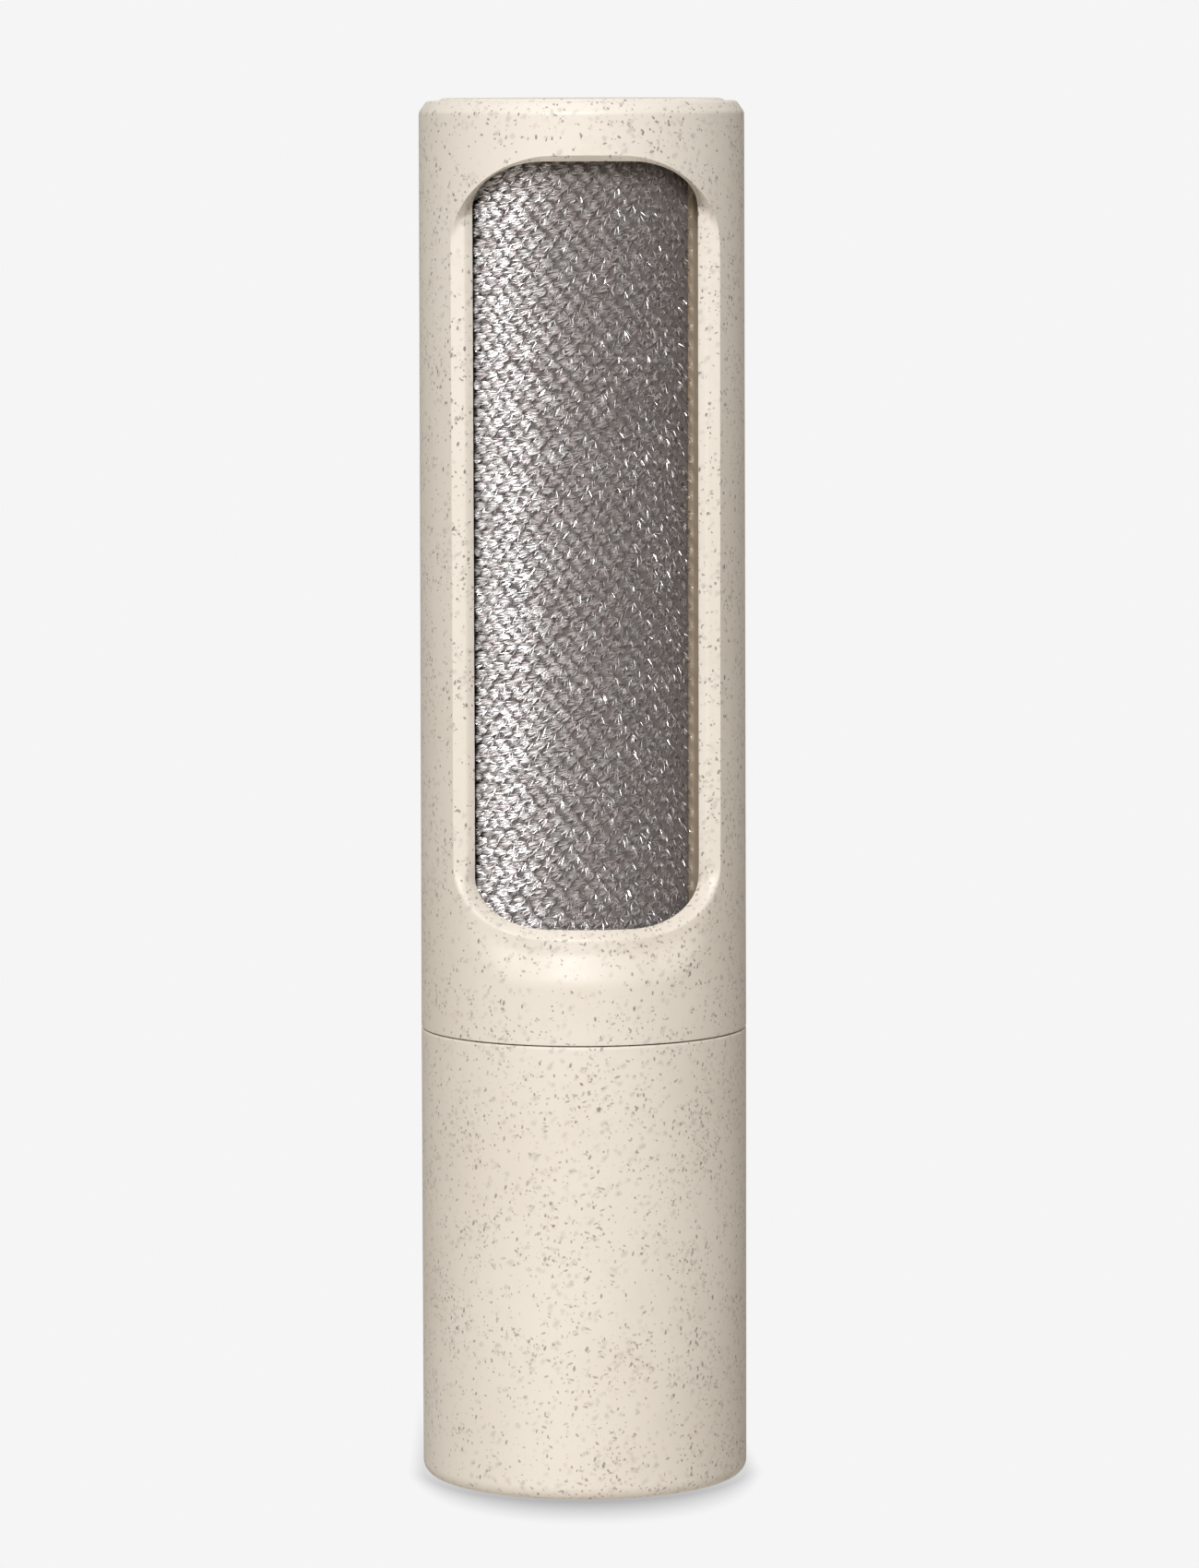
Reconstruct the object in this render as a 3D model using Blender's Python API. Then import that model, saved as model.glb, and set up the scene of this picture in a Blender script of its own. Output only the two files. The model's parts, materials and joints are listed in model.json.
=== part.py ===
"""Clothes brush with a twist-to-clean drum. Metres, +Z up, origin at the middle of the base, window at -Y.

The handle carries the neck and the drum with its two pile pads. The swivel ring turns on the neck,
and the housing lifts off the ring, so that the lint in it can be tipped out.
"""

import math

import bmesh
import bpy
from mathutils import Matrix, Vector

# Driving dimensions
OVERALL_H = 0.1796
SEAM_Z = 0.0590
BASE_R = 0.0212  # outer radius of the handle and of the housing's foot
TOP_R = 0.0210  # outer radius of the housing at its top edge
BORE_R = 0.0188  # inner radius of the housing and of the handle
PILE_R = 0.0180  # outer radius of the pile
GAP = 0.0003  # between pieces that touch
RUN = 0.0001  # between a shaft and the bore it turns in
SEGMENTS = 48

# Handle
FLOOR_T = 0.0024
BASE_FILLET = 0.0018
POST_R = 0.0042
POST_TOP_Z = 0.0468
PILOT_R = 0.0018
PILOT_DEPTH = 0.0150

# Neck, with the spigot that the swivel ring turns on
NECK_R = BORE_R - GAP
NECK_FOOT_Z = POST_TOP_Z + GAP
NECK_WEB_T = 0.0025
SHOULDER_Z = 0.0581
SPIGOT_R = 0.0150
SPIGOT_BORE_R = 0.0115
SPIGOT_TOP_Z = 0.0668
SCREW_HOLE_R = 0.0019
SEAL_GROOVE_Z = 0.0608
SEAL_R = 0.0006
CLIP_GROOVE_Z = 0.0643
CLIP_T = 0.0008

# Swivel ring, its click balls and the housing's keys
RING_FOOT_Z = SHOULDER_Z + GAP
RING_TOP_Z = CLIP_GROOVE_Z - GAP
BALL_R = 0.0010
BALL_ORBIT_R = 0.0167
BALL_Z = SHOULDER_Z + GAP - RUN - BALL_R  # pressed down, as between two clicks
BALL_AT = math.pi / 4
BALL_HOLE_R = 0.00125
BALL_HOLE_DEPTH = 0.0060
DIMPLE_R = 0.00135
CLICKS = 4
KEY_W = 0.0040
KEY_R = 0.0176
KEY_TOP_Z = 0.0633

# Drum
DISC_R = 0.0166
DRUM_FOOT_Z = SPIGOT_TOP_Z + GAP
BOTTOM_DISC_T = 0.0025
DRUM_SHELL_R = 0.0154
DRUM_SHELL_T = 0.0014
DRUM_SHELL_TOP_Z = 0.1737
TOP_DISC_T = 0.0010
SPINDLE_R = 0.0020
SPINDLE_FOOT_Z = 0.0588
SPINDLE_TOP_Z = 0.1781
CARRIER_R = 0.0167
CARRIER_T = 0.0010
CARRIER_HALF = math.radians(66)
PAD_T = 0.0009
PAD_HALF = math.radians(51.8)
DRUM_TURN = math.radians(-2.2)  # the drum at rest against the window
DRUM_SCREW_X = 0.0050
DRUM_SCREW_Z = (0.0850, 0.1560)
BOSS_R = 0.0023
DRUM_SCREW_R = 0.0009
DRUM_SCREW_HEAD_R = 0.0014

# Housing
HOUSING_FOOT_Z = SEAM_Z + GAP / 2
CHAMFER_Z = 0.1778
CHAMFER_W = 0.0010
RIM_Z = 0.17925
SHELF_R = 0.0170
SHELF_Z = (0.1753, 0.1767)
CAP_R = BORE_R - GAP
CAP_BEVEL = 0.0006
BUSH_R = 0.0030
BUSH_FLANGE_R = 0.0042
BUSH_Z = (0.1761, 0.1767, 0.1784)
STRIP_T = 0.0010
STRIP_R = 0.0182
STRIP_AT = math.radians(68)
STRIP_HALF = math.radians(7.5)
STRIP_Z = (0.0733, 0.1726)

# Window: half width, corner radii (across, up), bottom and top of the outer edge and of the opening
WINDOW_OUTER = (0.0172, 0.0132, 0.0096, 0.0723, 0.1725)
WINDOW_INNER = (0.0144, 0.0090, 0.0061, 0.0737, 0.1717)
CORNER_STEPS = 8
SCOOP_LOW_Z = 0.0678
SCOOP_DEPTH = 0.0013
SCOOP_HALF = math.radians(56)
SCOOP_STEPS = 20

FRONT = -math.pi / 2  # the window's direction, as an angle about Z from +X
TURN = 2 * math.pi

FINISHES = {  # linear colour, roughness, metallic
    "speckled_plastic": ((0.84, 0.78, 0.67), 0.45, 0.0),
    "carrier_plastic": ((0.42, 0.34, 0.26), 0.50, 0.0),
    "drum_plastic": ((0.62, 0.56, 0.46), 0.50, 0.0),
    "white_acetal": ((0.80, 0.79, 0.75), 0.35, 0.0),
    "pile_fabric": ((0.36, 0.35, 0.34), 0.80, 0.0),
    "felt": ((0.10, 0.10, 0.10), 0.95, 0.0),
    "rubber": ((0.03, 0.03, 0.03), 0.70, 0.0),
    "steel": ((0.56, 0.56, 0.57), 0.30, 1.0),
}


def clear_scene():
    for obj in list(bpy.data.objects):
        bpy.data.objects.remove(obj)


def finish(name):
    """The material of that name, made once."""
    if name in bpy.data.materials:
        return bpy.data.materials[name]
    colour, roughness, metallic = FINISHES[name]
    material = bpy.data.materials.new(name)
    material.use_nodes = True
    shader = material.node_tree.nodes["Principled BSDF"]
    shader.inputs["Base Color"].default_value = (*colour, 1.0)
    shader.inputs["Roughness"].default_value = roughness
    shader.inputs["Metallic"].default_value = metallic
    return material


def joint_empty(name, z, parent=None):
    """An empty on the brush's axis, which carries the pieces that move with a joint."""
    empty = bpy.data.objects.new(name, None)
    bpy.context.scene.collection.objects.link(empty)
    if parent is not None:
        empty.parent = parent
        z -= parent.matrix_world.translation.z
    empty.location.z = z
    bpy.context.view_layer.update()
    return empty


def piece(name, bm, finish_name, parent):
    """A named object from a bmesh in world space, with its origin on the axis at its lowest point."""
    foot = min(v.co.z for v in bm.verts)
    bmesh.ops.translate(bm, verts=bm.verts, vec=(0, 0, -foot))
    mesh = bpy.data.meshes.new(name)
    bm.to_mesh(mesh)
    bm.free()
    mesh.shade_smooth()
    mesh.set_sharp_from_angle(angle=math.radians(35))
    obj = bpy.data.objects.new(name, mesh)
    bpy.context.scene.collection.objects.link(obj)
    mesh.materials.append(finish(finish_name))
    obj.parent = parent
    obj.location.z = foot - parent.matrix_world.translation.z
    return obj


def repeated(name, bm, finish_name, parent, matrices):
    """Objects name_1, name_2 and so on that share one mesh, at matrices in the parent's space."""
    mesh = bpy.data.meshes.new(name)
    bm.to_mesh(mesh)
    bm.free()
    mesh.shade_smooth()
    mesh.set_sharp_from_angle(angle=math.radians(35))
    mesh.materials.append(finish(finish_name))
    for number, matrix in enumerate(matrices, 1):
        obj = bpy.data.objects.new(f"{name}_{number}", mesh)
        bpy.context.scene.collection.objects.link(obj)
        obj.parent = parent
        obj.matrix_local = matrix


def boolean(obj, operation, name, bm, solver="EXACT"):
    """Joins or cuts obj with a hidden helper, whose bmesh is in world space and which moves with obj."""
    mesh = bpy.data.meshes.new(name)
    bm.to_mesh(mesh)
    bm.free()
    helper = bpy.data.objects.new(name, mesh)
    bpy.context.scene.collection.objects.link(helper)
    helper.parent = obj.parent
    helper.location.z = -obj.parent.matrix_world.translation.z
    helper.hide_render = True
    helper.display_type = "WIRE"
    modifier = obj.modifiers.new(name, "BOOLEAN")
    modifier.operation = operation
    modifier.solver = solver
    modifier.object = helper


def turned(profile, start=0.0, sweep=TURN, segments=SEGMENTS, closed=True):
    """A bmesh from (radius, z) points turned about the axis; an open profile starts and ends on it."""
    bm = bmesh.new()
    verts = [bm.verts.new((r, 0, z)) for r, z in profile]
    pairs = list(zip(verts, verts[1:]))
    if closed:
        pairs.append((verts[-1], verts[0]))
    edges = [bm.edges.new(pair) for pair in pairs]
    bmesh.ops.rotate(bm, verts=verts, cent=(0, 0, 0), matrix=Matrix.Rotation(start, 3, "Z"))
    steps = max(2, round(segments * sweep / TURN))
    whole = sweep > TURN - 1e-6
    bmesh.ops.spin(
        bm, geom=verts + edges, cent=(0, 0, 0), axis=(0, 0, 1), angle=sweep, steps=steps, use_merge=whole
    )
    bmesh.ops.remove_doubles(bm, verts=bm.verts, dist=1e-7)
    if not whole:
        bmesh.ops.holes_fill(bm, edges=bm.edges, sides=0)
    bmesh.ops.recalc_face_normals(bm, faces=bm.faces)
    return bm


def box_profile(r_in, r_out, z_low, z_high):
    return [(r_in, z_low), (r_out, z_low), (r_out, z_high), (r_in, z_high)]


def sector(r_in, r_out, z_low, z_high, middle, half, segments=SEGMENTS):
    return turned(box_profile(r_in, r_out, z_low, z_high), middle - half, 2 * half, segments)


def copies(bm, matrices):
    """The same closed shape at each matrix, as separate solids in one bmesh."""
    mesh = bpy.data.meshes.new("copy")
    bm.to_mesh(mesh)
    bm.free()
    whole = bmesh.new()
    for matrix in matrices:
        first = len(whole.verts)
        whole.from_mesh(mesh)
        whole.verts.ensure_lookup_table()
        bmesh.ops.transform(whole, matrix=matrix, verts=whole.verts[first:])
    bpy.data.meshes.remove(mesh)
    return whole


def rod(radius, length, segments=16):
    """A closed cylinder from z = 0 to z = length."""
    return turned([(0, 0), (radius, 0), (radius, length), (0, length)], segments=segments, closed=False)


def arc(centre, radius, first, last, steps):
    """Points on a quarter or other arc in the (r, z) plane, angles in degrees."""
    angles = [math.radians(first + (last - first) * i / steps) for i in range(steps + 1)]
    return [(centre[0] + radius * math.cos(a), centre[1] + radius * math.sin(a)) for a in angles]


def around(count, radius, z, first=0.0):
    """Matrices that stand count copies evenly on a circle about the axis."""
    turns = [Matrix.Rotation(first + TURN * i / count, 4, "Z") for i in range(count)]
    return [turn @ Matrix.Translation((radius, 0, z)) for turn in turns]


def rounded_outline(half, corner_x, corner_z, low, high):
    """(x, z) round a window, anticlockwise from its lower right corner, with elliptical corners."""
    points = []
    corners = [(1, low + corner_z, -90), (1, high - corner_z, 0), (-1, high - corner_z, 90)]
    corners.append((-1, low + corner_z, 180))
    for side, z, first in corners:
        for step in range(CORNER_STEPS + 1):
            a = math.radians(first + 90 * step / CORNER_STEPS)
            points.append((side * (half - corner_x) + corner_x * math.cos(a), z + corner_z * math.sin(a)))
    return points


def housing_radius(z):
    """Outer radius of the housing, which narrows a little towards its top."""
    t = (z - SEAM_Z) / (CHAMFER_Z - SEAM_Z)
    return BASE_R + (TOP_R - BASE_R) * t


def on_cylinder(x, z, radius):
    return Vector((x, -math.sqrt(radius * radius - x * x), z))


def loft(loops):
    """A closed bmesh through loops of equally many points, with a face on the first and the last."""
    bm = bmesh.new()
    rows = [[bm.verts.new(p) for p in loop] for loop in loops]
    for a, b in zip(rows, rows[1:]):
        for i in range(len(a)):
            bm.faces.new((a[i - 1], a[i], b[i], b[i - 1]))
    bm.faces.new(rows[0])
    bm.faces.new(rows[-1])
    bmesh.ops.recalc_face_normals(bm, faces=bm.faces)
    return bm


def window_cutter():
    """The opening and the facet round it: straight rulings from the bore's edge to the outer edge."""
    outer = [on_cylinder(x, z, housing_radius(z)) for x, z in rounded_outline(*WINDOW_OUTER)]
    inner = [on_cylinder(x, z, BORE_R) for x, z in rounded_outline(*WINDOW_INNER)]
    beyond = [b + 0.5 * (b - a) for a, b in zip(inner, outer)]
    within = [a + 0.3 * (a - b) for a, b in zip(inner, outer)]
    front = [Vector((p.x, -2 * BASE_R, p.z)) for p in beyond]
    middle = [Vector((p.x, -SPIGOT_BORE_R / 2, p.z)) for p in within]
    return loft([middle, within, beyond, front])


def scoop_cutter():
    """A shallow hollow under the window, deepest against the window's lower edge and fading sideways."""
    _, corner_x, corner_z, low, _ = WINDOW_OUTER
    flat = WINDOW_OUTER[0] - corner_x
    loops = []
    for step in range(SCOOP_STEPS + 1):
        angle = SCOOP_HALF * (2 * step / SCOOP_STEPS - 1)
        x = abs(BASE_R * math.sin(angle))
        across = min(1.0, max(0.0, x - flat) / corner_x)
        edge_z = low + corner_z * (1 - math.sqrt(1 - across**2))
        fade = math.cos(0.5 * math.pi * angle / SCOOP_HALF) ** 0.7
        low_z = edge_z - (low - SCOOP_LOW_Z) * (0.25 + 0.75 * fade)
        depth = SCOOP_DEPTH * fade
        section = [(edge_z + GAP, 1.0), (low_z - GAP, 1.0), (low_z, 0.0)]
        for along in (0.35, 0.7, 1.0):
            section.append((low_z + (edge_z - low_z) * along, -depth * along**0.8))
        section.append((edge_z + GAP, -depth))
        loop = []
        for z, out in section:
            radius = housing_radius(z) + (out if out <= 0 else 0.001)
            loop.append(Vector((radius * math.sin(angle), -radius * math.cos(angle), z)))
        loops.append(loop)
    return loft(loops)


def make_handle(root):
    top = SEAM_Z - GAP / 2
    fillet = arc((BASE_R - BASE_FILLET, BASE_FILLET), BASE_FILLET, -90, 0, 5)
    profile = [(0, 0)] + fillet + [(BASE_R, top), (BORE_R, top), (BORE_R, FLOOR_T), (POST_R, FLOOR_T)]
    pilot_floor = POST_TOP_Z - PILOT_DEPTH
    profile += [(POST_R, POST_TOP_Z), (PILOT_R, POST_TOP_Z), (PILOT_R, pilot_floor), (0, pilot_floor)]
    piece("handle_shell", turned(profile, closed=False), "speckled_plastic", root)


def make_neck(root):
    web_top = NECK_FOOT_Z + NECK_WEB_T
    pocket = (SPIGOT_BORE_R + 0.0017, SPIGOT_R, SHOULDER_Z - 0.0021)
    seal_floor = SPIGOT_R - 2 * SEAL_R - RUN
    clip_floor = SPIGOT_R - 0.0010
    seal_top = SEAL_GROOVE_Z + 2 * SEAL_R + 2 * RUN
    clip_top = CLIP_GROOVE_Z + CLIP_T + 2 * GAP
    profile = [(SCREW_HOLE_R, NECK_FOOT_Z), (pocket[0], NECK_FOOT_Z), (pocket[0], pocket[2])]
    profile += [(pocket[1], pocket[2]), (pocket[1], NECK_FOOT_Z), (NECK_R, NECK_FOOT_Z)]
    profile += [(NECK_R, SHOULDER_Z), (SPIGOT_R, SHOULDER_Z)]
    for low, high, floor in ((SEAL_GROOVE_Z, seal_top, seal_floor), (CLIP_GROOVE_Z, clip_top, clip_floor)):
        profile += [(SPIGOT_R, low), (floor, low), (floor, high), (SPIGOT_R, high)]
    profile += [(SPIGOT_R, SPIGOT_TOP_Z), (SPIGOT_BORE_R, SPIGOT_TOP_Z), (SPIGOT_BORE_R, web_top)]
    profile.append((SCREW_HOLE_R, web_top))
    neck = piece("handle_neck", turned(profile), "drum_plastic", root)
    hole_feet = around(2, BALL_ORBIT_R, SHOULDER_Z - BALL_HOLE_DEPTH, BALL_AT)
    holes = copies(rod(BALL_HOLE_R, 2 * BALL_HOLE_DEPTH), hole_feet)
    boolean(neck, "DIFFERENCE", "ball_holes", holes)

    minor = SEAL_R
    centre = (seal_floor + RUN + minor, SEAL_GROOVE_Z + RUN + minor)
    seal = turned(arc(centre, minor, 0, 315, 7), segments=36)
    piece("friction_ring", seal, "rubber", root)
    clip_z = CLIP_GROOVE_Z + GAP
    clip = sector(clip_floor + GAP, SPIGOT_R + 0.0018, clip_z, clip_z + CLIP_T, 0.0, math.radians(160), 48)
    piece("retaining_clip", clip, "steel", root)

    shank = PILOT_R - GAP
    tip = POST_TOP_Z - PILOT_DEPTH + 0.0015
    head = web_top + GAP
    profile = [(0, tip), (shank * 0.4, tip), (shank, tip + 0.0015), (shank, head), (0.0032, head)]
    profile += arc((0.0022, head + 0.0012), 0.0010, 0, 90, 3) + [(0, head + 0.0022)]
    piece("neck_screw", turned(profile, segments=16, closed=False), "steel", root)


def make_clicks(root):
    """The two balls that the swivel ring clicks over, each on its spring in a hole in the neck."""
    ball = bmesh.new()
    bmesh.ops.create_uvsphere(ball, u_segments=10, v_segments=6, radius=BALL_R)
    repeated("detent_ball", ball, "steel", root, around(2, BALL_ORBIT_R, BALL_Z, BALL_AT))

    wire_r = 0.00017
    coil_r = BALL_R - wire_r
    low = SHOULDER_Z - BALL_HOLE_DEPTH + GAP + wire_r
    high = BALL_Z - BALL_R - GAP - wire_r
    turns, per_turn = 5, 10
    curve = bpy.data.curves.new("detent_spring", "CURVE")
    curve.dimensions = "3D"
    curve.bevel_depth = wire_r
    curve.bevel_resolution = 0
    curve.use_fill_caps = True
    spline = curve.splines.new("POLY")
    spline.points.add(turns * per_turn)
    for i, point in enumerate(spline.points):
        a = TURN * i / per_turn
        z = (high - low) * i / (turns * per_turn)
        point.co = (coil_r * math.cos(a), coil_r * math.sin(a), z, 1)
    curve.materials.append(finish("steel"))
    for number, matrix in enumerate(around(2, BALL_ORBIT_R, low, BALL_AT), 1):
        spring = bpy.data.objects.new(f"detent_spring_{number}", curve)
        bpy.context.scene.collection.objects.link(spring)
        spring.parent = root
        spring.matrix_local = matrix


def make_swivel_ring(parent):
    ring = piece(
        "swivel_ring",
        turned(box_profile(SPIGOT_R + RUN, NECK_R, RING_FOOT_Z, RING_TOP_Z)),
        "white_acetal",
        parent,
    )
    dimple_feet = around(CLICKS, BALL_ORBIT_R, RING_FOOT_Z - 0.0001, BALL_AT)
    dimples = copies(rod(DIMPLE_R, 0.0012, 12), dimple_feet)
    boolean(ring, "DIFFERENCE", "ring_dimples", dimples)
    half = math.asin((KEY_W / 2 + GAP) / KEY_R)
    slot = sector(KEY_R - GAP, NECK_R + 0.001, RING_FOOT_Z - 0.001, RING_TOP_Z + 0.001, 0.0, half)
    slots = copies(slot, around(2, 0, 0))
    boolean(ring, "DIFFERENCE", "ring_slots", slots)


def make_drum(drum):
    hub_r = SPIGOT_BORE_R - GAP
    disc_top = DRUM_FOOT_Z + BOTTOM_DISC_T
    hub_foot = SPINDLE_FOOT_Z - 0.0010
    socket_r = SPINDLE_R + GAP
    profile = [(0, hub_foot), (hub_r, hub_foot), (hub_r, DRUM_FOOT_Z), (DISC_R, DRUM_FOOT_Z)]
    profile += [(DISC_R, disc_top), (socket_r, disc_top), (socket_r, SPINDLE_FOOT_Z - GAP)]
    profile.append((0, SPINDLE_FOOT_Z - GAP))
    piece("drum_bottom_disc", turned(profile, closed=False), "drum_plastic", drum)
    low, high = DRUM_SHELL_TOP_Z + GAP, DRUM_SHELL_TOP_Z + GAP + TOP_DISC_T
    piece("drum_top_disc", turned(box_profile(socket_r, DISC_R, low, high)), "drum_plastic", drum)

    groove = (high, high + 2 * GAP + 0.0005)
    neck_r = SPINDLE_R - 0.0006
    profile = [(0, SPINDLE_FOOT_Z), (SPINDLE_R, SPINDLE_FOOT_Z), (SPINDLE_R, groove[0])]
    profile += [(neck_r, groove[0]), (neck_r, groove[1]), (SPINDLE_R, groove[1])]
    profile += [(SPINDLE_R, SPINDLE_TOP_Z - GAP), (SPINDLE_R - GAP, SPINDLE_TOP_Z), (0, SPINDLE_TOP_Z)]
    piece("drum_spindle", turned(profile, segments=24, closed=False), "steel", drum)
    clip = sector(neck_r + RUN, 0.0036, high + GAP, high + GAP + 0.0005, 0.0, math.radians(150), 32)
    piece("spindle_clip", clip, "steel", drum)


def make_drum_shells(drum):
    """Two half drums joined by four screws that run from the rear to the front half."""
    low = DRUM_FOOT_Z + BOTTOM_DISC_T + GAP
    inner = DRUM_SHELL_R - DRUM_SHELL_T
    half = math.pi / 2 - GAP / 2 / inner
    wall_y = math.sqrt(inner**2 - DRUM_SCREW_X**2)
    seat_y = wall_y - 0.0025
    places = [(x, z) for x in (-DRUM_SCREW_X, DRUM_SCREW_X) for z in DRUM_SCREW_Z]

    def lying(start, sign, foot=0.0):
        """Matrices that lay a shape that stands on z = 0 along Y at each screw, from y = start."""
        lay = Matrix.Rotation(-sign * math.pi / 2, 4, "X")
        return [Matrix.Translation((x, start, z - foot)) @ lay for x, z in places]

    def along_y(bm, start, sign):
        return copies(bm, lying(start, sign))

    for name, sign in (("drum_front_shell", -1), ("drum_rear_shell", 1)):
        shell = sector(inner, DRUM_SHELL_R, low, DRUM_SHELL_TOP_Z, sign * math.pi / 2, half)
        shell = piece(name, shell, "drum_plastic", drum)
        bosses = along_y(rod(BOSS_R, wall_y, 16), sign * GAP / 2, sign)
        boolean(shell, "UNION", name + "_bosses", bosses, "MANIFOLD")
        if sign > 0:
            holes = along_y(rod(DRUM_SCREW_R + GAP, 0.02, 12), -0.001, sign)
            seats = along_y(rod(DRUM_SCREW_HEAD_R + GAP, 0.01, 16), seat_y, sign)
            boolean(shell, "DIFFERENCE", "screw_seats", seats, "MANIFOLD")
        else:
            holes = along_y(rod(DRUM_SCREW_R + GAP, 0.0085, 12), 0.001, sign)
        boolean(shell, "DIFFERENCE", name + "_holes", holes, "MANIFOLD")
    tip, head, crown = -0.0065, seat_y + GAP, seat_y + 0.0018
    shank_r, head_r = DRUM_SCREW_R, DRUM_SCREW_HEAD_R
    profile = [(0, tip), (0.5 * shank_r, tip), (shank_r, tip + shank_r), (shank_r, head), (head_r, head)]
    profile += [(head_r, crown - 0.0004), (head_r - 0.0004, crown), (0, crown)]
    screw = turned(profile, segments=12, closed=False)
    repeated("drum_screw", screw, "steel", drum, lying(0.0, 1, DRUM_FOOT_Z))


def make_pads(drum):
    """The curved carriers on the drum and the pile pads bonded to them."""
    low = DRUM_FOOT_Z + BOTTOM_DISC_T + 2 * GAP
    for name, middle in (("front", -math.pi / 2), ("rear", math.pi / 2)):
        carrier = sector(CARRIER_R - CARRIER_T, CARRIER_R, low, DRUM_SHELL_TOP_Z, middle, CARRIER_HALF)
        piece("pad_carrier_" + name, carrier, "carrier_plastic", drum)
        pad = sector(PILE_R - PAD_T, PILE_R, low + 2 * GAP, DRUM_SHELL_TOP_Z - GAP, middle, PAD_HALF)
        piece("brush_pad_" + name, pad, "pile_fabric", drum)


def make_housing(parent):
    profile = [(BORE_R, HOUSING_FOOT_Z), (BASE_R, HOUSING_FOOT_Z), (TOP_R, CHAMFER_Z)]
    profile += [(TOP_R - CHAMFER_W, RIM_Z), (BORE_R, RIM_Z), (BORE_R, SHELF_Z[1]), (SHELF_R, SHELF_Z[1])]
    profile += [(SHELF_R, SHELF_Z[0]), (BORE_R, SHELF_Z[0])]
    shell = piece("housing_shell", turned(profile), "speckled_plastic", parent)
    boolean(shell, "DIFFERENCE", "window_cutter", window_cutter(), "MANIFOLD")
    boolean(shell, "DIFFERENCE", "scoop_cutter", scoop_cutter(), "MANIFOLD")
    half = math.asin(KEY_W / 2 / KEY_R)
    key = sector(KEY_R, BORE_R + 0.0005, HOUSING_FOOT_Z + GAP, KEY_TOP_Z, 0.0, half)
    boolean(shell, "UNION", "housing_keys", copies(key, around(2, 0, 0)), "MANIFOLD")
    for name, side in (("left", -1), ("right", 1)):
        middle = FRONT + side * STRIP_AT
        margin = GAP / STRIP_R
        low, high = STRIP_Z[0] - GAP, STRIP_Z[1] + GAP
        groove = sector(STRIP_R - 0.001, STRIP_R + STRIP_T + GAP, low, high, middle, STRIP_HALF + margin)
        boolean(shell, "DIFFERENCE", "strip_groove_" + name, groove, "MANIFOLD")
        strip = sector(STRIP_R, STRIP_R + STRIP_T, *STRIP_Z, middle, STRIP_HALF, 96)
        piece("cleaning_strip_" + name, strip, "felt", parent)

    foot = SHELF_Z[1] + GAP
    bush_hole = (BUSH_R + GAP, BUSH_Z[2] + GAP)
    profile = [(0, bush_hole[1]), (bush_hole[0], bush_hole[1]), (bush_hole[0], foot), (CAP_R, foot)]
    profile += [(CAP_R, RIM_Z), (CAP_R - CAP_BEVEL, OVERALL_H), (0, OVERALL_H)]
    piece("top_cap", turned(profile, closed=False), "speckled_plastic", parent)
    bore = SPINDLE_R + RUN
    profile = [(bore, BUSH_Z[0]), (BUSH_FLANGE_R, BUSH_Z[0]), (BUSH_FLANGE_R, BUSH_Z[1])]
    profile += [(BUSH_R, BUSH_Z[1]), (BUSH_R, BUSH_Z[2]), (bore, BUSH_Z[2])]
    piece("pivot_bush", turned(profile, segments=24), "white_acetal", parent)


def main():
    clear_scene()
    root = joint_empty("handle_root", 0.0)
    twist = joint_empty("housing_twist", RING_FOOT_Z, root)
    lift = joint_empty("housing_lift", HOUSING_FOOT_Z, twist)
    drum = joint_empty("drum_turn", DRUM_FOOT_Z, root)
    make_handle(root)
    make_neck(root)
    make_clicks(root)
    make_swivel_ring(twist)
    make_drum(drum)
    make_drum_shells(drum)
    make_pads(drum)
    make_housing(lift)
    drum.rotation_euler.z = DRUM_TURN


main()
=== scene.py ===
"""Looks of the clothes brush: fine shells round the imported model, a pile of single fibres,
the studio and the camera.

Metres, +Z up, window at -Y. Angles across the front ("phi") are about Z from -Y, positive towards +X.
"""

import json
import math

import bmesh
import bpy
import numpy as np
from mathutils import Matrix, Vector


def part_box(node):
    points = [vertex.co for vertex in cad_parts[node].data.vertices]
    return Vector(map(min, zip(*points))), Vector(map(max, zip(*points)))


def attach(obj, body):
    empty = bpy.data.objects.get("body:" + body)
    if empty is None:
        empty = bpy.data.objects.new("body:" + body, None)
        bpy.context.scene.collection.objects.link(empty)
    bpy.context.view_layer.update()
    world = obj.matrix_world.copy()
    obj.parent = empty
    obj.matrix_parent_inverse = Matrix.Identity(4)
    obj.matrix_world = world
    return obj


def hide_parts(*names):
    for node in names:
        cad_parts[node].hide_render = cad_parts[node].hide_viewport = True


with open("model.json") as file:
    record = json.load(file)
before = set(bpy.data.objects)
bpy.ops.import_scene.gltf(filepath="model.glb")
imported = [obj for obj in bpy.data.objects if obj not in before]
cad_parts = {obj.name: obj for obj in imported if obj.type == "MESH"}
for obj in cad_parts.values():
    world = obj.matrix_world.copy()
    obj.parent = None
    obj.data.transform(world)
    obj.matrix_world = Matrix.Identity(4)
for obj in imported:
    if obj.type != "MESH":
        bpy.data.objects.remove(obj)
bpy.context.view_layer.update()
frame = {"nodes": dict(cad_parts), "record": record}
nodes = frame["nodes"]

MM = 0.001
TURN = 2 * math.pi

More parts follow.
